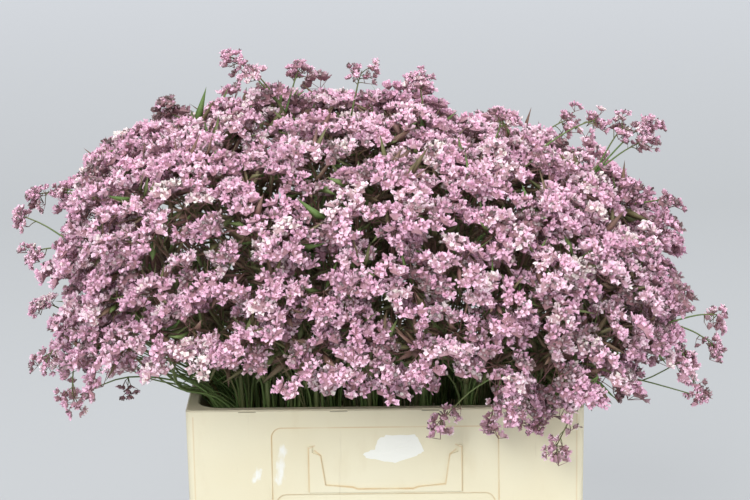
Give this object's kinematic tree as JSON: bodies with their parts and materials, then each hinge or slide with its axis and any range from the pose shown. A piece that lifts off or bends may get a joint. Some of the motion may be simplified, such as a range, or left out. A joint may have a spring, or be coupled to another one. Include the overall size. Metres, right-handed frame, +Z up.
{
  "type": "dried statice in a cut-flower crate",
  "caption": "Dried pink statice, cut stems with flat-topped sprays of papery florets, standing in a plain cream plastic cut-flower crate.",
  "frame": {"origin": "centre of the crate's underside, on the surface that it stands on", "axes": "+Z up, +X along the crate's longer side, -Y out of its front"},
  "size_m": [0.7395, 0.5857, 0.6435],
  "materials": {
    "crate_plastic": "satin, lightly scuffed moulded cream polypropylene",
    "dried_statice": "matt, papery dried florets on thin dry stems"
  },
  "bodies": {
    "root": {"crate": "crate_plastic", "statice_01": "dried_statice", "statice_02": "dried_statice", "statice_03": "dried_statice", "statice_04": "dried_statice", "statice_05": "dried_statice", "statice_06": "dried_statice", "statice_07": "dried_statice", "statice_08": "dried_statice", "statice_09": "dried_statice", "statice_10": "dried_statice", "statice_11": "dried_statice", "statice_12": "dried_statice", "statice_13": "dried_statice", "statice_14": "dried_statice", "statice_15": "dried_statice", "statice_16": "dried_statice", "statice_17": "dried_statice", "statice_18": "dried_statice", "statice_19": "dried_statice", "statice_20": "dried_statice", "statice_21": "dried_statice", "statice_22": "dried_statice", "statice_23": "dried_statice", "statice_24": "dried_statice", "statice_25": "dried_statice", "statice_26": "dried_statice", "statice_27": "dried_statice", "statice_28": "dried_statice", "statice_29": "dried_statice", "statice_30": "dried_statice", "statice_31": "dried_statice", "statice_32": "dried_statice", "statice_33": "dried_statice", "statice_34": "dried_statice", "statice_35": "dried_statice", "statice_36": "dried_statice", "statice_37": "dried_statice", "statice_38": "dried_statice", "statice_39": "dried_statice", "statice_40": "dried_statice", "statice_41": "dried_statice", "statice_42": "dried_statice", "statice_43": "dried_statice", "statice_44": "dried_statice", "statice_45": "dried_statice", "statice_46": "dried_statice", "statice_47": "dried_statice", "statice_48": "dried_statice", "statice_49": "dried_statice", "statice_50": "dried_statice", "statice_51": "dried_statice", "statice_52": "dried_statice", "statice_53": "dried_statice", "statice_54": "dried_statice"}
  },
  "joints": []
}
